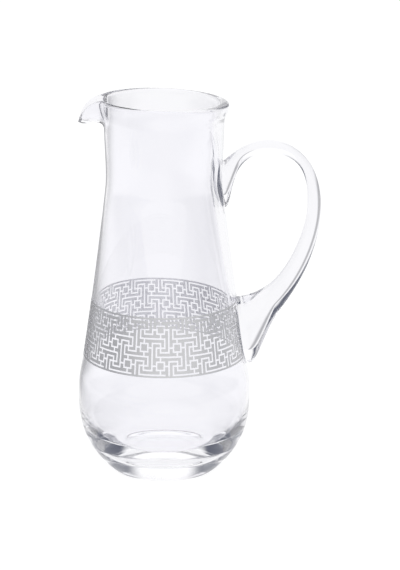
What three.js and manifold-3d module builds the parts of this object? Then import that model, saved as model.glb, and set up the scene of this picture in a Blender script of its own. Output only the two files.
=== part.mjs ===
// A water jug of clear glass: a blown body with a heavy base and a pulled pouring lip,
// an applied glass handle, and a printed platinum band round the body.
// Millimetres, +Z up. The origin is the centre of the foot, on the table.
// The handle lies along +X and the pouring lip along -X.

import * as THREE from 'three';
import { mergeVertices } from 'three/addons/utils/BufferGeometryUtils.js';
import Module from 'manifold-3d';

const wasm = await Module();
wasm.setup();

// Outside of the body, from the foot up
const footRadius = 36.8;
const heelSpread = 14.9;
const heelRise = 13.8;
const bellyRadius = 57.5;
const bellyHeight = 46;
const bellyFullness = 18;
const shoulderRadius = 53.75;
const shoulderRise = 34;
const shoulderEase = 19;
const taperHollow = 1;
const taperLength = 110;
const collarRadius = 38.6;
const collarEase = 12;
const neckRadius = 39;
const neckLength = 44;
const neckEase = 16;
const lipLength = 13.4;
const lipEase = 6;
const rimRadius = 42;
const rimCrown = 2.2;
const rimTilt = 1.5;

// Thickness of the glass
const rimWall = 4.2;
const neckWall = 3.8;
const shoulderWall = 3.3;
const bellyWall = 2.3;
const floorThickness = 13.3;
const floorRadius = 21;
const floorSpread = 22.5;
const bowlFullness = 18.5;
const hollowShift = 2;

// Pouring lip: the wall above the fold is bent outwards and down
const foldDrop = 2.9;
const foldLength = 5.5;
const foldAngle = 84;
const foldSpread = 13;
const foldSquareness = 4;

// Handle, from its root on the neck over the crown and the elbow to its pad on the belly.
// A lean is in degrees from the level, and an ease is how far a curve keeps its direction.
const rootRise = 19;
const tailDrop = 12;
const rootLean = 33;
const rootEase = 5;
const tailEase = 7.6;
const rootHalfWidth = 6.8;
const crownReach = 29.3;
const crownRise = 32.9;
const crownThickness = 8.7;
const crownOuterEase = 16;
const crownInnerEase = 27.5;
const crownHalfWidth = 5.4;
const handleReach = 102.7;
const elbowDrop = 12.3;
const elbowThickness = 9;
const elbowOuterEase = 32;
const elbowInnerEase = 10.3;
const elbowHalfWidth = 4.9;
const wristOuterReach = 25.1;
const wristOuterRise = 13.7;
const wristOuterLean = 55;
const wristOuterEase = 16;
const wristInnerReach = 11.5;
const wristInnerRise = 27.2;
const wristInnerLean = 26.6;
const wristInnerEase = 23;
const wristHalfWidth = 9;
const padHeight = 94;
const padLength = 46;
const padToe = 2.2;
const padToeEase = 5;
const padTopEase = 5;
const padHalfWidth = 11;
const rootSink = 3;

// Platinum band
const bandBottom = 78.2;
const bandHeight = 38.6;
const bandFilm = 0.3;

// Clearance between pieces that are fused or printed on each other
const seam = 0.3;

// Fineness of the round forms
const roundSteps = 60;
const curveSteps = 6;
const armSides = 16;
const armSteps = 9;
const bandRings = 4;

const shoulderHeight = bellyHeight + shoulderRise;
const collarHeight = shoulderHeight + taperLength;
const neckTop = collarHeight + neckLength;
const rimShoulder = neckTop + lipLength;
const taperMiddle = (shoulderHeight + collarHeight) / 2;
const taperMiddleRadius = (shoulderRadius + collarRadius) / 2 - taperHollow;
const foldHeight = neckTop - foldDrop;

// Slope of the taper at its lower and upper end, as radius lost per height
const lowerSlope = (shoulderRadius - taperMiddleRadius) / (taperMiddle - shoulderHeight);
const upperSlope = (taperMiddleRadius - collarRadius) / (collarHeight - taperMiddle);

// The outline of the outside from the foot to the rim's shoulder
function outsideOutline() {
  const path = new THREE.Path();
  path.moveTo(footRadius, 0);
  path.bezierCurveTo(
    footRadius + heelSpread, heelRise,
    bellyRadius, bellyHeight - bellyFullness,
    bellyRadius, bellyHeight,
  );
  path.bezierCurveTo(
    bellyRadius, bellyHeight + shoulderEase,
    shoulderRadius + lowerSlope * shoulderEase, shoulderHeight - shoulderEase,
    shoulderRadius, shoulderHeight,
  );
  path.quadraticCurveTo(taperMiddleRadius, taperMiddle, collarRadius, collarHeight);
  path.bezierCurveTo(
    collarRadius - upperSlope * collarEase, collarHeight + collarEase,
    neckRadius, neckTop - neckEase,
    neckRadius, neckTop,
  );
  path.bezierCurveTo(
    neckRadius, neckTop + lipEase,
    rimRadius, rimShoulder - lipEase,
    rimRadius, rimShoulder,
  );
  return path.getPoints(curveSteps);
}

// The rounded rim and the inside, from the rim's shoulder down to the floor on the axis
function insideOutline() {
  const path = new THREE.Path();
  path.absellipse(rimRadius - rimWall / 2, rimShoulder, rimWall / 2, rimCrown, 0, Math.PI);
  path.bezierCurveTo(
    rimRadius - rimWall, rimShoulder - lipEase,
    neckRadius - neckWall, neckTop + lipEase,
    neckRadius - neckWall, neckTop,
  );
  path.bezierCurveTo(
    neckRadius - neckWall, neckTop - neckEase,
    collarRadius - neckWall - upperSlope * collarEase, collarHeight + collarEase,
    collarRadius - neckWall, collarHeight,
  );
  path.quadraticCurveTo(
    taperMiddleRadius - (neckWall + shoulderWall) / 2, taperMiddle,
    shoulderRadius - shoulderWall, shoulderHeight,
  );
  path.bezierCurveTo(
    shoulderRadius - shoulderWall + lowerSlope * shoulderEase, shoulderHeight - shoulderEase,
    bellyRadius - bellyWall, bellyHeight + shoulderEase,
    bellyRadius - bellyWall, bellyHeight,
  );
  path.bezierCurveTo(
    bellyRadius - bellyWall, bellyHeight - bowlFullness,
    floorRadius + floorSpread, floorThickness,
    floorRadius, floorThickness,
  );
  path.lineTo(0, floorThickness);
  return path.getPoints(curveSteps);
}

const outside = outsideOutline();

// Radius of the outside at a height
function wallRadius(height) {
  const above = Math.max(1, outside.findIndex((point) => point.y >= height));
  const low = outside[above - 1];
  const high = outside[above];
  return THREE.MathUtils.mapLinear(height, low.y, high.y, low.x, high.x);
}

// A closed mesh with shared corners and no empty triangles
function closed(geometry) {
  geometry.deleteAttribute('normal');
  geometry.deleteAttribute('uv');
  const merged = mergeVertices(geometry);
  const corners = merged.index.array;
  const kept = [];
  for (let i = 0; i < corners.length; i += 3) {
    const [a, b, c] = corners.slice(i, i + 3);
    if (a !== b && b !== c && c !== a) kept.push(a, b, c);
  }
  merged.setIndex(kept);
  return merged;
}

// A body of revolution about +Z from points of radius and height
function turned(points) {
  return closed(new THREE.LatheGeometry(points, roundSteps).rotateX(Math.PI / 2));
}

function solid(geometry) {
  const vertProperties = new Float32Array(geometry.attributes.position.array);
  const triVerts = new Uint32Array(geometry.index.array);
  return new wasm.Manifold(new wasm.Mesh({ numProp: 3, vertProperties, triVerts }));
}

function surface(manifold) {
  const mesh = manifold.getMesh();
  const geometry = new THREE.BufferGeometry();
  geometry.setAttribute('position', new THREE.BufferAttribute(mesh.vertProperties, 3));
  geometry.setIndex(new THREE.BufferAttribute(mesh.triVerts, 1));
  return geometry;
}

// Bends a point of the body above the fold outwards, most of all straight over the lip,
// and tilts the rim, which stands higher at the lip than at the handle
function pullLip(point) {
  const radius = Math.hypot(point.x, point.y);
  const rise = point.z - foldHeight;
  if (rise <= 0) return;
  const side = Math.atan2(point.y, -point.x);
  const spread = THREE.MathUtils.degToRad(foldSpread);
  const share = Math.exp(-(Math.abs(side / spread) ** foldSquareness));
  const angle = THREE.MathUtils.degToRad(foldAngle) * share;
  const bent = Math.min(rise / foldLength, 1) * angle;
  const straight = Math.max(rise - foldLength, 0);
  const reach = angle > 0 ? (foldLength / angle) * (1 - Math.cos(bent)) : 0;
  const climb = angle > 0 ? (foldLength / angle) * Math.sin(bent) : Math.min(rise, foldLength);
  const outwards = radius - neckRadius;
  const newRadius = neckRadius + reach + straight * Math.sin(bent) + outwards * Math.cos(bent);
  const newHeight = foldHeight + climb + straight * Math.cos(bent) - outwards * Math.sin(bent);
  const tilt = -rimTilt * (point.x / rimRadius) * THREE.MathUtils.smoothstep(point.z, neckTop, rimShoulder);
  point.set(point.x * newRadius / radius, point.y * newRadius / radius, newHeight + tilt);
}

// Moves a point of the inside towards the lip, so that the wall is thicker beside the handle
function shiftHollow(point) {
  const outer = point.z < rimShoulder ? wallRadius(point.z) : rimRadius;
  const inwards = outer - Math.hypot(point.x, point.y);
  const inside = THREE.MathUtils.smoothstep(inwards, 0, shoulderWall);
  const above = THREE.MathUtils.smoothstep(point.z, shoulderHeight, collarHeight);
  point.setX(point.x - hollowShift * inside * above);
}

function bodyGeometry() {
  const outline = [new THREE.Vector2(0, 0), ...outside, ...insideOutline().slice(1)];
  const geometry = turned(outline);
  const position = geometry.attributes.position;
  const point = new THREE.Vector3();
  for (let i = 0; i < position.count; i += 1) {
    point.fromBufferAttribute(position, i);
    shiftHollow(point);
    pullLip(point);
    position.setXYZ(i, point.x, point.y, point.z);
  }
  return geometry;
}

// The space that the body takes up, filled and grown by the seam
function bodySpace() {
  const grown = outside.map((point) => new THREE.Vector2(point.x + seam, point.y));
  const bottom = new THREE.Vector2(0, 0);
  const top = new THREE.Vector2(0, rimShoulder);
  return solid(turned([bottom, ...grown, top]));
}

// One edge of the arm as curves through knots. A knot has its place, its heading in degrees
// and its ease, which may be another one on leaving.
function armEdge(knots) {
  const origin = new THREE.Vector2();
  const towards = (heading, ease) => (
    new THREE.Vector2(ease, 0).rotateAround(origin, THREE.MathUtils.degToRad(heading))
  );
  return knots.slice(1).map((knot, i) => {
    const from = knots[i];
    const leaving = from.at.clone().add(towards(from.heading, from.leave ?? from.ease));
    const arriving = knot.at.clone().sub(towards(knot.heading, knot.ease));
    return new THREE.CubicBezierCurve(from.at, leaving, arriving, knot.at);
  });
}

// A place beside the outside of the body, at a height
function besideWall(height, outwards) {
  return new THREE.Vector2(wallRadius(height) + outwards, height);
}

function outerEdge() {
  const wrist = besideWall(padHeight, wristOuterReach);
  wrist.y += wristOuterRise;
  return armEdge([
    { at: besideWall(collarHeight + rootRise, 0), heading: rootLean, ease: rootEase },
    {
      at: new THREE.Vector2(collarRadius + crownReach, collarHeight + crownRise),
      heading: 0,
      ease: crownOuterEase,
    },
    {
      at: new THREE.Vector2(handleReach, collarHeight - elbowDrop),
      heading: -90,
      ease: elbowOuterEase,
    },
    { at: wrist, heading: wristOuterLean - 180, ease: wristOuterEase },
    { at: besideWall(padHeight - padLength / 2, padToe), heading: 180, ease: padToeEase },
  ]);
}

function innerEdge() {
  const wrist = besideWall(padHeight, wristInnerReach);
  wrist.y += wristInnerRise;
  return armEdge([
    { at: besideWall(collarHeight - tailDrop, 0), heading: rootLean, ease: tailEase },
    {
      at: new THREE.Vector2(collarRadius + crownReach, collarHeight + crownRise - crownThickness),
      heading: 0,
      ease: crownInnerEase,
    },
    {
      at: new THREE.Vector2(handleReach - elbowThickness, collarHeight - elbowDrop),
      heading: -90,
      ease: elbowInnerEase,
    },
    { at: wrist, heading: wristInnerLean - 180, ease: wristInnerEase, leave: padTopEase },
    { at: besideWall(padHeight + padLength / 2, 0), heading: 180, ease: padTopEase },
  ]);
}

// The arm's sections from root to pad, each with its inner and outer edge and half its width.
// The first and the last are sunk in the body.
function armSections() {
  const outer = outerEdge();
  const inner = innerEdge();
  const halfWidths = [rootHalfWidth, crownHalfWidth, elbowHalfWidth, wristHalfWidth, padHalfWidth];
  const sections = [];
  outer.forEach((curve, stretch) => {
    for (let step = stretch === 0 ? 0 : 1; step <= armSteps; step += 1) {
      const along = step / armSteps;
      const blend = THREE.MathUtils.smoothstep(along, 0, 1);
      sections.push({
        inner: inner[stretch].getPoint(along),
        outer: curve.getPoint(along),
        half: THREE.MathUtils.lerp(halfWidths[stretch], halfWidths[stretch + 1], blend),
      });
    }
  });
  const sunk = ({ inner: low, outer: high, half }) => ({
    inner: new THREE.Vector2(low.x - rootSink - padToe, low.y),
    outer: new THREE.Vector2(high.x - rootSink - padToe, high.y),
    half,
  });
  return [sunk(sections[0]), ...sections, sunk(sections[sections.length - 1])];
}

// The whole arm with oval sections, its ends sunk in the body, thicker by a growth all round
function armSpace(growth) {
  const positions = [];
  const corners = [];
  const sections = armSections();
  sections.forEach(({ inner, outer, half }) => {
    const middle = inner.clone().add(outer).multiplyScalar(0.5);
    const across = outer.clone().sub(inner).multiplyScalar(0.5);
    across.setLength(across.length() + growth);
    for (let side = 0; side < armSides; side += 1) {
      const turn = (2 * Math.PI * side) / armSides;
      const point = middle.clone().addScaledVector(across, Math.cos(turn));
      positions.push(point.x, (half + growth) * Math.sin(turn), point.y);
    }
  });
  const last = (sections.length - 1) * armSides;
  for (let here = 0; here < last; here += armSides) {
    const there = here + armSides;
    for (let side = 0; side < armSides; side += 1) {
      const next = (side + 1) % armSides;
      corners.push(here + side, there + next, here + next);
      corners.push(here + side, there + side, there + next);
    }
  }
  for (let side = 1; side < armSides - 1; side += 1) {
    corners.push(0, side, side + 1);
    corners.push(last, last + side + 1, last + side);
  }
  const geometry = new THREE.BufferGeometry();
  geometry.setAttribute('position', new THREE.Float32BufferAttribute(positions, 3));
  geometry.setIndex(corners);
  return solid(geometry);
}

function handleGeometry() {
  return surface(armSpace(0).subtract(bodySpace()));
}

// A thin sleeve on the outside of the body, open where the handle's pad sits
function bandGeometry() {
  const points = [];
  for (let ring = 0; ring <= bandRings; ring += 1) {
    const height = bandBottom + (bandHeight * ring) / bandRings;
    points.push(new THREE.Vector2(wallRadius(height) + seam + bandFilm, height));
  }
  for (let ring = bandRings; ring >= 0; ring -= 1) {
    const height = bandBottom + (bandHeight * ring) / bandRings;
    points.push(new THREE.Vector2(wallRadius(height) + seam, height));
  }
  points.push(points[0].clone());
  return surface(solid(turned(points)).subtract(armSpace(seam)));
}

const clearGlass = new THREE.MeshStandardMaterial({ color: 0xebebf1, roughness: 0.02, metalness: 0 });
clearGlass.transparent = true;
clearGlass.opacity = 0.35;
const platinum = new THREE.MeshStandardMaterial({ color: 0xb6b6b9, roughness: 0.25, metalness: 1 });

function piece(name, geometry, material) {
  geometry.computeVertexNormals();
  const mesh = new THREE.Mesh(geometry, material);
  mesh.name = name;
  return mesh;
}

const jug = new THREE.Group();
jug.add(piece('glass_body', bodyGeometry(), clearGlass));
jug.add(piece('glass_handle', handleGeometry(), clearGlass.clone()));
jug.add(piece('platinum_band', bandGeometry(), platinum));

export default jug;
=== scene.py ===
"""The looks of the glass jug: clear glass body and handle, platinum fret band, plain studio.

Lengths are millimetres in the part's own frame and turn into metres where a mesh or a node
takes them. The handle lies along +X, the pouring lip along -X, and the camera looks along +Y.
"""
import math

import bmesh
import bpy
import numpy as np
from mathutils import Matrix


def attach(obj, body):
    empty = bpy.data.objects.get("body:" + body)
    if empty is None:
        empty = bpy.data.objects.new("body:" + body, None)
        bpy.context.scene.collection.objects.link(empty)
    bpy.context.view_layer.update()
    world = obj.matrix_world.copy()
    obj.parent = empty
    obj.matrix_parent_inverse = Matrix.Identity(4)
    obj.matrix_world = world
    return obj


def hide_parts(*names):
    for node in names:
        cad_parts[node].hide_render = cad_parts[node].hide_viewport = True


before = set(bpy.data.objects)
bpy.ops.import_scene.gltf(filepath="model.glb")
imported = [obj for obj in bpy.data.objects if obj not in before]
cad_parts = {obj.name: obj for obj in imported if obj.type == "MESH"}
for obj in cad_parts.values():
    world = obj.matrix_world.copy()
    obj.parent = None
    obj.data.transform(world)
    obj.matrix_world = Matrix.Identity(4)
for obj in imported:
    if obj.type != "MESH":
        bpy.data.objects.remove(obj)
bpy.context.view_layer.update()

MM = 0.001
FULL_TURN = 2 * math.pi
QUARTER_TURN = math.pi / 2

# Outside of the body, from the foot up
FOOT_RADIUS = 36.8
HEEL_SPREAD = 14.9
HEEL_RISE = 13.8
BELLY_RADIUS = 57.5
BELLY_HEIGHT = 46.0
BELLY_FULLNESS = 18.0
SHOULDER_RADIUS = 53.75
SHOULDER_RISE = 34.0
SHOULDER_EASE = 19.0
TAPER_HOLLOW = 1.0
TAPER_LENGTH = 110.0
COLLAR_RADIUS = 38.6
COLLAR_EASE = 12.0
NECK_RADIUS = 39.0
NECK_LENGTH = 44.0
NECK_EASE = 16.0
LIP_LENGTH = 13.4
LIP_EASE = 6.0
RIM_RADIUS = 42.0
RIM_CROWN = 2.2
RIM_TILT = 1.5

# Thickness of the glass, and the hollow ground and polished under the foot
RIM_WALL = 4.2
NECK_WALL = 3.8
SHOULDER_WALL = 3.3
BELLY_WALL = 2.3
FLOOR_THICKNESS = 13.3
FLOOR_RADIUS = 21.0
FLOOR_SPREAD = 22.5
BOWL_FULLNESS = 18.5
HOLLOW_SHIFT = 2.0
PONTIL_RADIUS = 29.5
PONTIL_DEPTH = 3.0

# Pouring lip: the wall above the fold is bent outwards and down
FOLD_DROP = 2.9
FOLD_LENGTH = 5.5
FOLD_ANGLE = math.radians(84)
FOLD_SPREAD = math.radians(13)
FOLD_SQUARENESS = 4
LEAST_FOLD = 1e-6

# Handle, from its root on the neck over the crown and the elbow to its pad on the belly.
# A lean is in degrees from the level, and an ease is how far a curve keeps its direction.
# The headings of its edges are in degrees too. The half widths are those at the root, crown,
# elbow, wrist and pad.
OUTWARDS = 0
DOWN = -90
INWARDS = -180
ROOT_RISE = 19.0
TAIL_DROP = 12.0
ROOT_LEAN = 33.0
ROOT_EASE = 5.0
TAIL_EASE = 7.6
CROWN_REACH = 29.3
CROWN_RISE = 32.9
CROWN_THICKNESS = 8.7
CROWN_OUTER_EASE = 16.0
CROWN_INNER_EASE = 27.5
HANDLE_REACH = 102.7
ELBOW_DROP = 12.3
ELBOW_THICKNESS = 9.0
ELBOW_OUTER_EASE = 32.0
ELBOW_INNER_EASE = 10.3
WRIST_OUTER_REACH = 25.1
WRIST_OUTER_RISE = 13.7
WRIST_OUTER_LEAN = 55.0
WRIST_OUTER_EASE = 16.0
WRIST_INNER_REACH = 11.5
WRIST_INNER_RISE = 27.2
WRIST_INNER_LEAN = 26.6
WRIST_INNER_EASE = 23.0
PAD_HEIGHT = 94.0
PAD_LENGTH = 46.0
PAD_TOE = 2.2
PAD_TOE_EASE = 5.0
PAD_TOP_EASE = 5.0
HALF_WIDTHS = (6.8, 5.4, 4.9, 9.0, 11.0)

# Welds of the handle: how deep its ends are sunk, and how near each other doubled points lie
WELD_DEPTH = 0.5
WELD_MERGE = 0.002

# Platinum band, a thin film that is left bare beside the handle's pad
BAND_BOTTOM = 78.2
BAND_HEIGHT = 38.6
BAND_REPEATS = 15
BAND_TURN = math.radians(9.4)
BAND_GAP = math.radians(13.5)
FILM_HALF = 0.03
FILM_CREASE = math.radians(30)

# Key fret of the band: bare lines that draw squares and hooked crosses in turn, one to a cell.
# Its lengths are in pitches of its grid, and only the rise of a pitch is in millimetres.
PITCH_RISE = 5.85
CELL = 2
CELLS_PER_REPEAT = 2
SPARE_CELLS = 2
CELL_ROWS = (-1, 0, 1)
LINE_HALF = 0.092
SQUARE_RING = 0.45
HOOK_STEP = 0.5
HOOK_RISE = 1.0
HOOK_LENGTH = 3.0

# Fineness of the round forms and of the fret's grid
ROUND_STEPS = 240
CURVE_STEPS = 20
ARM_SIDES = 64
ARM_STEPS = 32
FILM_STEP = 0.25
GRID_DIGITS = 6

# Camera, measured in the 400 by 570 frame
IMAGE_WIDTH = 400
IMAGE_HEIGHT = 570
AXIS_PIXEL = 164.2
FOCAL_PIXELS = 1885.5
CAMERA_DISTANCE = 1250.5
CAMERA_RISE = math.radians(16.37)
CAMERA_AIM = 124.8
CAMERA_END = 20000.0
SENSOR = 36.0

# Glass: waves of the blown wall and wear of the foot, with scales of unevenness per metre
GLASS_TINT = (0.98, 0.978, 1.0, 1.0)
GLASS_IOR = 1.5
WAVE_SCALE = 45.0
WAVE_STRETCH = 5.0
WAVE_HEIGHT = 0.04
WEAR_HEIGHT = 0.4
WEAR_SCALE = 900.0
WEAR_ROUGHNESS = 0.25
LIGHT_BOUNCES = 48

# Platinum: tones of its open face and of its inner face on the glass, and the roughness of both. The
# inner face's tones are lighter, as painted light on the far side of the band.
# Its scale of unevenness is per metre too.
PRINT_SCALE = 350.0
PRINT_DARK = (0.79, 0.79, 0.8, 1.0)
PRINT_LIGHT = (0.89, 0.89, 0.9, 1.0)
PRINT_EDGE = (0.5, 0.5, 0.5, 1.0)
LIT_INNER_DARK = (0.93, 0.93, 0.94, 1.0)
LIT_INNER_LIGHT = (0.99, 0.99, 1.0, 1.0)
LIT_INNER_EDGE = (0.9, 0.9, 0.9, 1.0)
PRINT_SMOOTH = 0.36
PRINT_ROUGH = 0.48

# Room: tones, and where along a direction of length 1 they start and are full
WHITE = (1.0, 1.0, 1.0, 1.0)
SKY_TONE = (1.06, 1.06, 1.06, 1.0)
FRONT_STARTS, FRONT_FULL = -0.25, -0.7
FRONT_TONE = (0.78, 0.78, 0.79, 1.0)
SIDE_STARTS, SIDE_FULL = 0.22, 0.42
SIDE_SHADE = (0.06, 0.07, 0.11, 1.0)
TOP_STARTS, TOP_FULL = 0.6, 0.88

# Table: its tone, its glow, and the painted light and painted shade on it that the glass and the
# metal see, with how far from the jug they start and are full
TABLE_HALF = 6000.0
TABLE_LEVEL = -0.2
TABLE_TONE = (0.25, 0.25, 0.25, 1.0)
TABLE_GLOW = 0.9
BEHIND_PAINTED_LIGHT = (0.9, 0.9, 0.9, 1.0)
LEFT_STARTS, LEFT_FULL = -60.0, -200.0
PAST_STARTS, PAST_FULL = -300.0, -600.0
LEFT_PAINTED_SHADE = (0.32, 0.32, 0.33, 1.0)
NEAR_STARTS, NEAR_FULL = -250.0, -750.0
NEAR_PAINTED_SHADE = (0.6, 0.6, 0.61, 1.0)
FAR_STARTS, FAR_FULL = 1000.0, 2200.0

# What follows from the lengths above
SHOULDER_HEIGHT = BELLY_HEIGHT + SHOULDER_RISE
COLLAR_HEIGHT = SHOULDER_HEIGHT + TAPER_LENGTH
NECK_TOP = COLLAR_HEIGHT + NECK_LENGTH
RIM_SHOULDER = NECK_TOP + LIP_LENGTH
TAPER_MIDDLE = (SHOULDER_HEIGHT + COLLAR_HEIGHT) / 2
TAPER_MIDDLE_RADIUS = (SHOULDER_RADIUS + COLLAR_RADIUS) / 2 - TAPER_HOLLOW
FOLD_HEIGHT = NECK_TOP - FOLD_DROP
LOWER_SLOPE = (SHOULDER_RADIUS - TAPER_MIDDLE_RADIUS) / (TAPER_MIDDLE - SHOULDER_HEIGHT)
UPPER_SLOPE = (TAPER_MIDDLE_RADIUS - COLLAR_RADIUS) / (COLLAR_HEIGHT - TAPER_MIDDLE)
FRET_CELLS = BAND_REPEATS * CELLS_PER_REPEAT
FRET_LENGTH = FRET_CELLS * CELL

# Places of the materials on the glass and on the print
GLASS, WELD = 0, 1
OUTER, INNER = 0, 1


def bezier(points, steps):
    """Points along a curve with two to four control points, without the first one."""
    along = np.linspace(0, 1, steps + 1)[1:, None]
    level = [np.array(point, float)[None, :] for point in points]
    while len(level) > 1:
        level = [a * (1 - along) + b * along for a, b in zip(level, level[1:])]
    return level[0]


def smooth_step(value, low, high):
    """0 up to low, 1 from high, and a smooth rise between."""
    share = np.clip((value - low) / (high - low), 0, 1)
    return share * share * (3 - 2 * share)


def under_outline():
    """Radius and height of the underside, from beside the axis to the foot's edge."""
    radius = np.linspace(0, PONTIL_RADIUS, CURVE_STEPS + 1)[1:]
    height = PONTIL_DEPTH * (1 - (radius / PONTIL_RADIUS) ** 2)
    return np.vstack([np.column_stack([radius, height]), [(FOOT_RADIUS, 0)]])


def outside_outline():
    """Radius and height of the outside, from the foot's edge to the rim's shoulder."""
    foot = (FOOT_RADIUS, 0)
    belly = (BELLY_RADIUS, BELLY_HEIGHT)
    shoulder = (SHOULDER_RADIUS, SHOULDER_HEIGHT)
    collar = (COLLAR_RADIUS, COLLAR_HEIGHT)
    neck = (NECK_RADIUS, NECK_TOP)
    rim = (RIM_RADIUS, RIM_SHOULDER)
    curves = [
        (foot, (FOOT_RADIUS + HEEL_SPREAD, HEEL_RISE),
         (BELLY_RADIUS, BELLY_HEIGHT - BELLY_FULLNESS), belly),
        (belly, (BELLY_RADIUS, BELLY_HEIGHT + SHOULDER_EASE),
         (SHOULDER_RADIUS + LOWER_SLOPE * SHOULDER_EASE, SHOULDER_HEIGHT - SHOULDER_EASE), shoulder),
        (shoulder, (TAPER_MIDDLE_RADIUS, TAPER_MIDDLE), collar),
        (collar, (COLLAR_RADIUS - UPPER_SLOPE * COLLAR_EASE, COLLAR_HEIGHT + COLLAR_EASE),
         (NECK_RADIUS, NECK_TOP - NECK_EASE), neck),
        (neck, (NECK_RADIUS, NECK_TOP + LIP_EASE), (RIM_RADIUS, RIM_SHOULDER - LIP_EASE), rim),
    ]
    return np.vstack([[foot]] + [bezier(curve, CURVE_STEPS) for curve in curves])


def inside_outline():
    """Radius and height over the round rim and down the inside to the floor on the axis."""
    turn = np.linspace(0, math.pi, CURVE_STEPS + 1)[1:]
    crown = np.column_stack([
        RIM_RADIUS - RIM_WALL / 2 + RIM_WALL / 2 * np.cos(turn),
        RIM_SHOULDER + RIM_CROWN * np.sin(turn),
    ])
    rim = (RIM_RADIUS - RIM_WALL, RIM_SHOULDER)
    neck = (NECK_RADIUS - NECK_WALL, NECK_TOP)
    collar = (COLLAR_RADIUS - NECK_WALL, COLLAR_HEIGHT)
    middle = (TAPER_MIDDLE_RADIUS - (NECK_WALL + SHOULDER_WALL) / 2, TAPER_MIDDLE)
    shoulder = (SHOULDER_RADIUS - SHOULDER_WALL, SHOULDER_HEIGHT)
    belly = (BELLY_RADIUS - BELLY_WALL, BELLY_HEIGHT)
    floor = (FLOOR_RADIUS, FLOOR_THICKNESS)
    curves = [
        (rim, (rim[0], RIM_SHOULDER - LIP_EASE), (neck[0], NECK_TOP + LIP_EASE), neck),
        (neck, (neck[0], NECK_TOP - NECK_EASE),
         (collar[0] - UPPER_SLOPE * COLLAR_EASE, COLLAR_HEIGHT + COLLAR_EASE), collar),
        (collar, middle, shoulder),
        (shoulder, (shoulder[0] + LOWER_SLOPE * SHOULDER_EASE, SHOULDER_HEIGHT - SHOULDER_EASE),
         (belly[0], BELLY_HEIGHT + SHOULDER_EASE), belly),
        (belly, (belly[0], BELLY_HEIGHT - BOWL_FULLNESS),
         (FLOOR_RADIUS + FLOOR_SPREAD, FLOOR_THICKNESS), floor),
        (floor, (0, FLOOR_THICKNESS)),
    ]
    return np.vstack([crown] + [bezier(curve, CURVE_STEPS) for curve in curves])


OUTSIDE = outside_outline()


def wall_radius(height):
    """Radius of the outside of the body at a height."""
    return np.interp(height, OUTSIDE[:, 1], OUTSIDE[:, 0])


def shift_hollow(points):
    """Moves the inside towards the lip, so that the wall is thicker beside the handle."""
    x, y, z = points.T
    inside = smooth_step(wall_radius(z) - np.hypot(x, y), 0, SHOULDER_WALL)
    above = smooth_step(z, SHOULDER_HEIGHT, COLLAR_HEIGHT)
    return np.column_stack([x - HOLLOW_SHIFT * inside * above, y, z])


def pull_lip(points):
    """Bends the wall over the fold outwards at the lip, and tilts the rim towards the handle."""
    x, y, z = points.T
    radius = np.hypot(x, y)
    rise = np.maximum(z - FOLD_HEIGHT, 0)
    side = np.arctan2(y, -x)
    share = np.exp(-(np.abs(side / FOLD_SPREAD) ** FOLD_SQUARENESS))
    angle = np.maximum(FOLD_ANGLE * share, LEAST_FOLD)
    bent = np.minimum(rise / FOLD_LENGTH, 1) * angle
    straight = np.maximum(rise - FOLD_LENGTH, 0)
    outwards = radius - NECK_RADIUS
    reach = FOLD_LENGTH / angle * (1 - np.cos(bent)) + straight * np.sin(bent)
    climb = FOLD_LENGTH / angle * np.sin(bent) + straight * np.cos(bent)
    tilt = -RIM_TILT * x / RIM_RADIUS * smooth_step(z, NECK_TOP, RIM_SHOULDER)
    new_radius = NECK_RADIUS + reach + outwards * np.cos(bent)
    new_height = FOLD_HEIGHT + climb - outwards * np.sin(bent) + tilt
    pulled = z > FOLD_HEIGHT
    scale = np.where(pulled, new_radius / radius, 1)
    return np.column_stack([x * scale, y * scale, np.where(pulled, new_height, z)])


def make_piece(name, points, faces, materials, face_materials=None):
    """A smooth-shaded object from points in millimetres and lists of corners."""
    mesh = bpy.data.meshes.new(name)
    mesh.from_pydata((np.asarray(points) * MM).tolist(), [], faces)
    for material in materials:
        mesh.materials.append(material)
    if face_materials is not None:
        mesh.polygons.foreach_set("material_index", face_materials)
    mesh.polygons.foreach_set("use_smooth", [True] * len(mesh.polygons))
    mesh.update()
    piece = bpy.data.objects.new(name, mesh)
    bpy.context.scene.collection.objects.link(piece)
    return piece


def ring_faces(rings, sides):
    """Faces of a tube of rings, each with the same number of points."""
    faces = []
    for here in range(0, (rings - 1) * sides, sides):
        there = here + sides
        for side in range(sides):
            after = (side + 1) % sides
            faces.append((here + side, here + after, there + after, there + side))
    return faces


def cap_faces(count, sides):
    """Fans that close both ends of a tube of so many points, round the two points after them."""
    last = count - sides
    faces = []
    for side in range(sides):
        after = (side + 1) % sides
        faces.append((count, after, side))
        faces.append((count + 1, last + side, last + after))
    return faces


def make_body(materials):
    """The blown body as a body of revolution with its lip pulled."""
    outline = np.vstack([under_outline(), OUTSIDE[1:], inside_outline()[:-1]])
    turn = np.linspace(0, FULL_TURN, ROUND_STEPS, endpoint=False)
    radius, height = outline.T
    x = np.outer(radius, np.cos(turn))
    y = np.outer(radius, np.sin(turn))
    z = np.repeat(height, ROUND_STEPS)
    rings = pull_lip(shift_hollow(np.column_stack([x.ravel(), y.ravel(), z])))
    points = np.vstack([rings, [0, 0, PONTIL_DEPTH], [0, 0, FLOOR_THICKNESS]])
    faces = ring_faces(len(outline), ROUND_STEPS) + cap_faces(len(rings), ROUND_STEPS)
    return make_piece("jug_body", points, faces, materials)


def towards(heading, ease):
    """A step of a length along a heading in degrees."""
    turn = math.radians(heading)
    return np.array([math.cos(turn), math.sin(turn)]) * ease


def arm_edge(knots):
    """One edge of the arm through knots of place, heading, ease on arriving and on leaving."""
    points = [np.array([knots[0][0]])]
    for (start, heading, _, leave), (end, next_heading, arrive, _) in zip(knots, knots[1:]):
        leaving = start + towards(heading, leave)
        arriving = end - towards(next_heading, arrive)
        points.append(bezier((start, leaving, arriving, end), ARM_STEPS))
    return np.vstack(points)


def beside_wall(height, outwards, rise=0.0):
    """A place beside the outside of the body at a height, then lifted."""
    return np.array([wall_radius(height) + outwards, height + rise])


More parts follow.
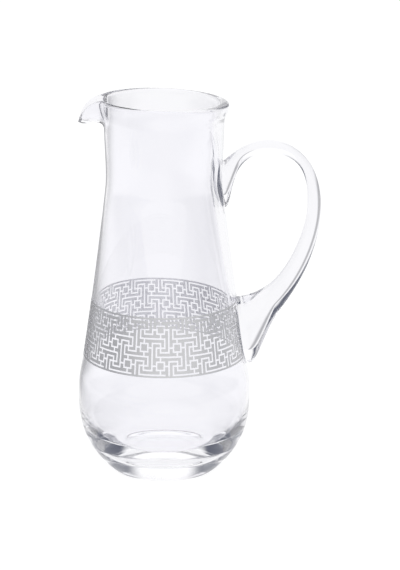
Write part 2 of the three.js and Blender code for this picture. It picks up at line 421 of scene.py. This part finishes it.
def arm_sections():
    """Inner edge, outer edge and half width of the arm's sections from root to pad."""
    crown = np.array([COLLAR_RADIUS + CROWN_REACH, COLLAR_HEIGHT + CROWN_RISE])
    elbow = np.array([HANDLE_REACH, COLLAR_HEIGHT - ELBOW_DROP])
    outer = arm_edge([
        (beside_wall(COLLAR_HEIGHT + ROOT_RISE, 0), ROOT_LEAN, ROOT_EASE, ROOT_EASE),
        (crown, OUTWARDS, CROWN_OUTER_EASE, CROWN_OUTER_EASE),
        (elbow, DOWN, ELBOW_OUTER_EASE, ELBOW_OUTER_EASE),
        (beside_wall(PAD_HEIGHT, WRIST_OUTER_REACH, WRIST_OUTER_RISE), INWARDS + WRIST_OUTER_LEAN,
         WRIST_OUTER_EASE, WRIST_OUTER_EASE),
        (beside_wall(PAD_HEIGHT - PAD_LENGTH / 2, PAD_TOE), INWARDS, PAD_TOE_EASE, PAD_TOE_EASE),
    ])
    inner = arm_edge([
        (beside_wall(COLLAR_HEIGHT - TAIL_DROP, 0), ROOT_LEAN, TAIL_EASE, TAIL_EASE),
        (crown - (0, CROWN_THICKNESS), OUTWARDS, CROWN_INNER_EASE, CROWN_INNER_EASE),
        (elbow - (ELBOW_THICKNESS, 0), DOWN, ELBOW_INNER_EASE, ELBOW_INNER_EASE),
        (beside_wall(PAD_HEIGHT, WRIST_INNER_REACH, WRIST_INNER_RISE), INWARDS + WRIST_INNER_LEAN,
         WRIST_INNER_EASE, PAD_TOP_EASE),
        (beside_wall(PAD_HEIGHT + PAD_LENGTH / 2, 0), INWARDS, PAD_TOP_EASE, PAD_TOP_EASE),
    ])
    stretch = np.arange(len(outer)) / ARM_STEPS
    knot = np.minimum(stretch.astype(int), len(HALF_WIDTHS) - 2)
    widths = np.array(HALF_WIDTHS)
    half = widths[knot] + (widths[knot + 1] - widths[knot]) * smooth_step(stretch - knot, 0, 1)
    return inner, outer, half


def on_wall(ring, depth):
    """A ring moved along X onto the outside of the body, or below it by a depth."""
    moved = ring.copy()
    moved[:, 0] = np.sqrt(wall_radius(ring[:, 2]) ** 2 - ring[:, 1] ** 2) - depth
    return moved


def make_handle(materials):
    """The applied handle as oval sections from wall to wall. Its two ends are sunk a little in
    the body and are the welds, where one glass runs on into the other."""
    inner, outer, half = arm_sections()
    middle = (inner + outer) / 2
    across = (outer - inner) / 2
    turn = np.linspace(0, FULL_TURN, ARM_SIDES, endpoint=False)
    arm = np.empty((len(middle), ARM_SIDES, 3))
    arm[:, :, 0] = middle[:, :1] + across[:, :1] * np.cos(turn)
    arm[:, :, 1] = half[:, None] * np.sin(turn)
    arm[:, :, 2] = middle[:, 1:] + across[:, 1:] * np.cos(turn)
    root, pad = arm[0], arm[-1]
    rings = [on_wall(root, WELD_DEPTH), on_wall(root, 0), *arm[1:-1], on_wall(pad, 0),
             on_wall(pad, WELD_DEPTH)]
    centres = [on_wall(ring.mean(axis=0)[None, :], WELD_DEPTH) for ring in (rings[0], rings[-1])]
    sides = ring_faces(len(rings), ARM_SIDES)
    caps = cap_faces(len(rings) * ARM_SIDES, ARM_SIDES)
    faces = [face[::-1] for face in sides + caps]
    clear = len(sides) - 2 * ARM_SIDES
    kinds = [WELD] * ARM_SIDES + [GLASS] * clear + [WELD] * (ARM_SIDES + len(caps))
    return make_piece("jug_handle", np.vstack(rings + centres), faces, materials, kinds)


def weld(body, handle):
    """Takes the handle's sunk ends out of the body, so that the two meet face to face."""
    cut = body.modifiers.new("weld", "BOOLEAN")
    cut.operation = "DIFFERENCE"
    cut.solver = "EXACT"
    cut.object = handle
    bpy.context.view_layer.update()
    evaluated = body.evaluated_get(bpy.context.evaluated_depsgraph_get())
    mesh = bpy.data.meshes.new_from_object(evaluated)
    mesh.name = "jug_body"
    body.modifiers.clear()
    body.data = mesh


def crease_welds(piece):
    """Joins points that the cut doubled, and keeps the shading of the glass apart from the welds."""
    shape = bmesh.new()
    shape.from_mesh(piece.data)
    bmesh.ops.remove_doubles(shape, verts=shape.verts, dist=WELD_MERGE * MM)
    for edge in shape.edges:
        kinds = {face.material_index for face in edge.link_faces}
        edge.smooth = len(kinds) == 1
    shape.to_mesh(piece.data)
    shape.free()


def quarter_turns():
    """Turns by a quarter, a half and three quarters, and none."""
    return [np.array([(c, -s), (s, c)]) for c, s in ((1, 0), (0, 1), (-1, 0), (0, -1))]


def line_box(start, end):
    """A bare line between two places of the fret, with square ends, as a box."""
    low = np.minimum(start, end) - LINE_HALF
    high = np.maximum(start, end) + LINE_HALF
    return low, high


def square_lines():
    """Bare lines round one square of the fret and from it to the lines beside it."""
    corner = np.array([SQUARE_RING, SQUARE_RING])
    middle = np.array([SQUARE_RING, 0])
    beside = np.array([CELL / 2, 0])
    lines = []
    for turn in quarter_turns():
        lines.append(line_box(turn @ corner, turn @ (corner * (-1, 1))))
        lines.append(line_box(turn @ middle, turn @ beside))
    return lines


def hook_lines():
    """Bare lines of one cross of the fret with its four hooked arms."""
    back = HOOK_STEP - HOOK_LENGTH
    arm = np.array([(0, 0), (HOOK_STEP, 0), (HOOK_STEP, HOOK_RISE), (back, HOOK_RISE)])
    lines = []
    for turn in quarter_turns():
        knots = arm @ turn.T
        lines += [line_box(start, end) for start, end in zip(knots, knots[1:])]
    return lines


def fret_lines():
    """All bare lines of the fret, in pitches along the band and up from its middle. Spare cells
    at both ends bring in the arms that reach over the seam."""
    lines = []
    for column in range(-SPARE_CELLS, FRET_CELLS + SPARE_CELLS):
        for row in CELL_ROWS:
            shapes = hook_lines() if (column + row) % 2 else square_lines()
            place = np.array([CELL * column, CELL * row])
            lines += [(low + place, high + place) for low, high in shapes]
    return lines


def fret_grid():
    """The fret's cell edges along and up, and which cells between them are platinum."""
    edge = BAND_HEIGHT / 2 / PITCH_RISE
    border = len(CELL_ROWS) * CELL / 2 + LINE_HALF
    gap = (QUARTER_TURN - BAND_TURN + np.array([-BAND_GAP, BAND_GAP])) / FULL_TURN * FRET_LENGTH
    lines = [(np.maximum(low, (0, -border)), np.minimum(high, (FRET_LENGTH, border)))
             for low, high in fret_lines()]
    lines = [(low, high) for low, high in lines if (low < high).all()]
    corners = np.array([corner for line in lines for corner in line])
    steps = np.arange(0, FRET_LENGTH + FILM_STEP, FILM_STEP)
    along = np.unique(np.concatenate([corners[:, 0], steps, gap]).round(GRID_DIGITS))
    up = np.unique(np.concatenate([corners[:, 1], [-edge, edge]]).round(GRID_DIGITS))
    platinum = np.ones((len(along) - 1, len(up) - 1), bool)
    for line in lines:
        (left, bottom), (right, top) = np.round(line, GRID_DIGITS)
        columns = slice(*np.searchsorted(along, (left, right)))
        rows = slice(*np.searchsorted(up, (bottom, top)))
        platinum[columns, rows] = False
    centre = (along[1:] + along[:-1]) / 2
    platinum[(centre > gap[0]) & (centre < gap[1])] = False
    return along, up, platinum


def film_points(along, up):
    """Points of the film's open face and then of its inner face, column by column."""
    turn = BAND_TURN - QUARTER_TURN + along[:-1] / FRET_LENGTH * FULL_TURN
    height = BAND_BOTTOM + BAND_HEIGHT / 2 + up * PITCH_RISE
    sheets = []
    for lift in (FILM_HALF, -FILM_HALF):
        radius = wall_radius(height) + lift
        x = np.outer(np.cos(turn), radius)
        y = np.outer(np.sin(turn), radius)
        z = np.tile(height, len(turn))
        sheets.append(np.column_stack([x.ravel(), y.ravel(), z]))
    return np.vstack(sheets)


def film_faces(platinum):
    """Faces on both sides of the platinum cells and round the film's edges, and their kinds."""
    columns, rows = platinum.shape
    below = columns * (rows + 1)
    faces = []
    kinds = []
    for column, row in np.argwhere(platinum):
        after = (column + 1) % columns
        left = column * (rows + 1) + row
        right = after * (rows + 1) + row
        corners = (left, right, right + 1, left + 1)
        beside = (
            row > 0 and platinum[column, row - 1],
            platinum[after, row],
            row + 1 < rows and platinum[column, row + 1],
            platinum[column - 1, row],
        )
        faces.append(corners)
        faces.append(tuple(corner + below for corner in corners[::-1]))
        kinds += [OUTER, INNER]
        for start, end, joined in zip(corners, corners[1:] + corners[:1], beside):
            if not joined:
                faces.append((start, start + below, end + below, end))
                kinds.append(OUTER)
    return faces, kinds


def make_fret(materials):
    """The platinum print as a thin film that sits half in the surface of the glass."""
    along, up, platinum = fret_grid()
    points = film_points(along, up)
    faces, kinds = film_faces(platinum)
    used, order = np.unique(faces, return_inverse=True)
    faces = order.reshape(len(faces), -1).tolist()
    piece = make_piece("platinum_fret", points[used], faces, materials, kinds)
    piece.data.set_sharp_from_angle(angle=FILM_CREASE)
    return piece


def maths(tree, operation, a, b=0.0):
    """A maths node on sockets or numbers."""
    node = tree.nodes.new("ShaderNodeMath")
    node.operation = operation
    for socket, value in zip(node.inputs, (a, b)):
        if isinstance(value, float):
            socket.default_value = value
        else:
            tree.links.new(value, socket)
    return node.outputs[0]


def ramp(tree, value, low, high):
    """A smooth change of a value into 0 at low and 1 at high."""
    node = tree.nodes.new("ShaderNodeMapRange")
    node.interpolation_type = "SMOOTHSTEP"
    node.inputs["From Min"].default_value = low
    node.inputs["From Max"].default_value = high
    tree.links.new(value, node.inputs["Value"])
    return node.outputs["Result"]


def mixed(tree, share, a, b):
    """A mix of two colours, each a socket or four numbers."""
    node = tree.nodes.new("ShaderNodeMixRGB")
    tree.links.new(share, node.inputs["Fac"])
    for name, value in (("Color1", a), ("Color2", b)):
        if isinstance(value, tuple):
            node.inputs[name].default_value = value
        else:
            tree.links.new(value, node.inputs[name])
    return node.outputs["Color"]


def split_xyz(tree, vector):
    """The X, Y and Z of a vector."""
    node = tree.nodes.new("ShaderNodeSeparateXYZ")
    tree.links.new(vector, node.inputs["Vector"])
    return node.outputs["X"], node.outputs["Y"], node.outputs["Z"]


def noise(tree, scale, stretch=1.0):
    """An uneven value from 0 to 1, drawn out along the height."""
    place = tree.nodes.new("ShaderNodeTexCoord")
    drawn = tree.nodes.new("ShaderNodeMapping")
    drawn.inputs["Scale"].default_value = (1, 1, 1 / stretch)
    texture = tree.nodes.new("ShaderNodeTexNoise")
    texture.inputs["Scale"].default_value = scale
    tree.links.new(place.outputs["Object"], drawn.inputs["Vector"])
    tree.links.new(drawn.outputs["Vector"], texture.inputs["Vector"])
    return texture.outputs["Fac"]


def new_material(name):
    """A material, its nodes and the shader among them."""
    material = bpy.data.materials.new(name)
    material.use_nodes = True
    tree = material.node_tree
    return material, tree, tree.nodes["Principled BSDF"]


def show(tree, shader):
    """Makes a shader the surface of its material."""
    tree.links.new(shader, tree.nodes["Material Output"].inputs["Surface"])


def foot_wear(tree):
    """Roughness of the glass, which is scuffed only where the foot rubs on the table."""
    place = tree.nodes.new("ShaderNodeTexCoord")
    _, _, height = split_xyz(tree, place.outputs["Object"])
    low = ramp(tree, height, WEAR_HEIGHT * MM, 0.0)
    scuffs = maths(tree, "MULTIPLY", noise(tree, WEAR_SCALE), WEAR_ROUGHNESS)
    return maths(tree, "MULTIPLY", low, scuffs)


def clear_glass(name):
    """Clear glass, faintly wavy as blown, that lets the studio's light through to the table."""
    material, tree, shader = new_material(name)
    shader.inputs["Base Color"].default_value = GLASS_TINT
    shader.inputs["IOR"].default_value = GLASS_IOR
    shader.inputs["Transmission Weight"].default_value = 1.0
    waves = tree.nodes.new("ShaderNodeBump")
    waves.inputs["Distance"].default_value = WAVE_HEIGHT * MM
    tree.links.new(noise(tree, WAVE_SCALE, WAVE_STRETCH), waves.inputs["Height"])
    tree.links.new(waves.outputs["Normal"], shader.inputs["Normal"])
    tree.links.new(foot_wear(tree), shader.inputs["Roughness"])
    clear = tree.nodes.new("ShaderNodeBsdfTransparent")
    clear.inputs["Color"].default_value = GLASS_TINT
    path = tree.nodes.new("ShaderNodeLightPath")
    mix = tree.nodes.new("ShaderNodeMixShader")
    tree.links.new(path.outputs["Is Shadow Ray"], mix.inputs["Fac"])
    tree.links.new(shader.outputs["BSDF"], mix.inputs[1])
    tree.links.new(clear.outputs["BSDF"], mix.inputs[2])
    show(tree, mix.outputs["Shader"])
    return material


def fused_glass():
    """The weld between two pieces of glass, which doesn't show."""
    material, tree, shader = new_material("weld")
    tree.nodes.remove(shader)
    clear = tree.nodes.new("ShaderNodeBsdfTransparent")
    show(tree, clear.outputs["BSDF"])
    return material


def platinum_print(name, dark, light, edge):
    """A thin fired print of platinum, soft bright and a little uneven."""
    material, tree, shader = new_material(name)
    shader.inputs["Metallic"].default_value = 1.0
    shader.inputs["Specular Tint"].default_value = edge
    uneven = noise(tree, PRINT_SCALE)
    tree.links.new(mixed(tree, uneven, dark, light), shader.inputs["Base Color"])
    spread = maths(tree, "MULTIPLY", uneven, PRINT_ROUGH - PRINT_SMOOTH)
    tree.links.new(maths(tree, "ADD", spread, PRINT_SMOOTH), shader.inputs["Roughness"])
    return material


def make_world():
    """A white studio behind and over the jug, dim in front and dark to both sides."""
    world = bpy.data.worlds.new("studio")
    bpy.context.scene.world = world
    world.use_nodes = True
    tree = world.node_tree
    direction = tree.nodes.new("ShaderNodeTexCoord")
    x, y, z = split_xyz(tree, direction.outputs["Generated"])
    front = ramp(tree, y, FRONT_STARTS, FRONT_FULL)
    sideways = ramp(tree, maths(tree, "ABSOLUTE", x), SIDE_STARTS, SIDE_FULL)
    overhead = ramp(tree, z, TOP_STARTS, TOP_FULL)
    colour = mixed(tree, sideways, SKY_TONE, SIDE_SHADE)
    colour = mixed(tree, front, colour, FRONT_TONE)
    colour = mixed(tree, overhead, colour, SKY_TONE)
    path = tree.nodes.new("ShaderNodeLightPath")
    colour = mixed(tree, path.outputs["Is Camera Ray"], colour, WHITE)
    tree.links.new(colour, tree.nodes["Background"].inputs["Color"])


def painted_table_shade(tree):
    """Painted shade on the table, which the glass and the metal see: painted light behind the jug,
    and painted shade in a strip on the left, towards the front and far to both sides."""
    place = tree.nodes.new("ShaderNodeNewGeometry")
    x, y, _ = split_xyz(tree, place.outputs["Position"])
    left = ramp(tree, x, LEFT_STARTS * MM, LEFT_FULL * MM)
    past = ramp(tree, x, PAST_STARTS * MM, PAST_FULL * MM)
    near = ramp(tree, y, NEAR_STARTS * MM, NEAR_FULL * MM)
    far = ramp(tree, maths(tree, "ABSOLUTE", x), FAR_STARTS * MM, FAR_FULL * MM)
    # Painted shade: darker in a strip on the left, towards the front and far to both sides of the
    # jug.
    shade = mixed(tree, maths(tree, "SUBTRACT", left, past), BEHIND_PAINTED_LIGHT, LEFT_PAINTED_SHADE)
    shade = mixed(tree, near, shade, NEAR_PAINTED_SHADE)
    return mixed(tree, far, shade, SIDE_SHADE)


def white_table():
    """A table that the camera sees plain white and that keeps the jug's shadow. Its glow shows the
    glass and the metal painted light and painted shade.
    """
    material, tree, shader = new_material("floor")
    tree.nodes.remove(shader)
    path = tree.nodes.new("ShaderNodeLightPath")
    straight = path.outputs["Is Camera Ray"]
    seen = maths(tree, "MAXIMUM", straight, path.outputs["Is Glossy Ray"])
    seen = maths(tree, "MAXIMUM", seen, path.outputs["Is Transmission Ray"])
    diffuse = tree.nodes.new("ShaderNodeBsdfDiffuse")
    diffuse.inputs["Color"].default_value = TABLE_TONE
    glow = tree.nodes.new("ShaderNodeEmission")
    # The glow is plain white to the camera, and painted light and painted shade to the glass and the
    # metal.
    tree.links.new(mixed(tree, straight, painted_table_shade(tree), WHITE), glow.inputs["Color"])
    tree.links.new(maths(tree, "MULTIPLY", seen, TABLE_GLOW), glow.inputs["Strength"])
    both = tree.nodes.new("ShaderNodeAddShader")
    tree.links.new(diffuse.outputs["BSDF"], both.inputs[0])
    tree.links.new(glow.outputs["Emission"], both.inputs[1])
    show(tree, both.outputs["Shader"])
    return material


def make_floor():
    """The table under the jug, which isn't part of the object."""
    signs = ((-1, -1), (1, -1), (1, 1), (-1, 1))
    corners = [(x * TABLE_HALF, y * TABLE_HALF, TABLE_LEVEL) for x, y in signs]
    make_piece("floor", corners, [(0, 1, 2, 3)], [white_table()])


def make_camera():
    """The photograph's camera, with its axis beside the middle of the picture."""
    data = bpy.data.cameras.new("camera")
    data.sensor_width = SENSOR
    data.lens = FOCAL_PIXELS / IMAGE_HEIGHT * SENSOR
    data.shift_x = (IMAGE_WIDTH / 2 - AXIS_PIXEL) / IMAGE_HEIGHT
    data.clip_end = CAMERA_END * MM
    camera = bpy.data.objects.new("camera", data)
    away = CAMERA_DISTANCE * math.cos(CAMERA_RISE)
    above = CAMERA_AIM + CAMERA_DISTANCE * math.sin(CAMERA_RISE)
    camera.location = (0, -away * MM, above * MM)
    camera.rotation_euler = (QUARTER_TURN - CAMERA_RISE, 0, 0)
    bpy.context.scene.collection.objects.link(camera)
    bpy.context.scene.camera = camera


def let_light_travel():
    """Enough bounces for light that is caught many times in the thick base."""
    cycles = bpy.context.scene.cycles
    cycles.max_bounces = LIGHT_BOUNCES
    cycles.glossy_bounces = LIGHT_BOUNCES
    cycles.transmission_bounces = LIGHT_BOUNCES


def stand_for(piece, node):
    """Puts a piece under the root and hides the node that it stands for."""
    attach(piece, "root")
    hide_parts(node)


make_camera()
make_world()
make_floor()
let_light_travel()
bpy.context.scene.view_settings.view_transform = "Standard"

fused = fused_glass()
body = make_body([clear_glass("body_glass"), fused])
handle = make_handle([clear_glass("handle_glass"), fused])
weld(body, handle)
crease_welds(body)
crease_welds(handle)
# The inner face gets a lighter copy of the platinum, as painted light on the far side of the band.
fret = make_fret([platinum_print("platinum", PRINT_DARK, PRINT_LIGHT, PRINT_EDGE),
                  platinum_print("platinum_inside_painted_light", LIT_INNER_DARK, LIT_INNER_LIGHT, LIT_INNER_EDGE)])
stand_for(body, "glass_body")
stand_for(handle, "glass_handle")
stand_for(fret, "platinum_band")
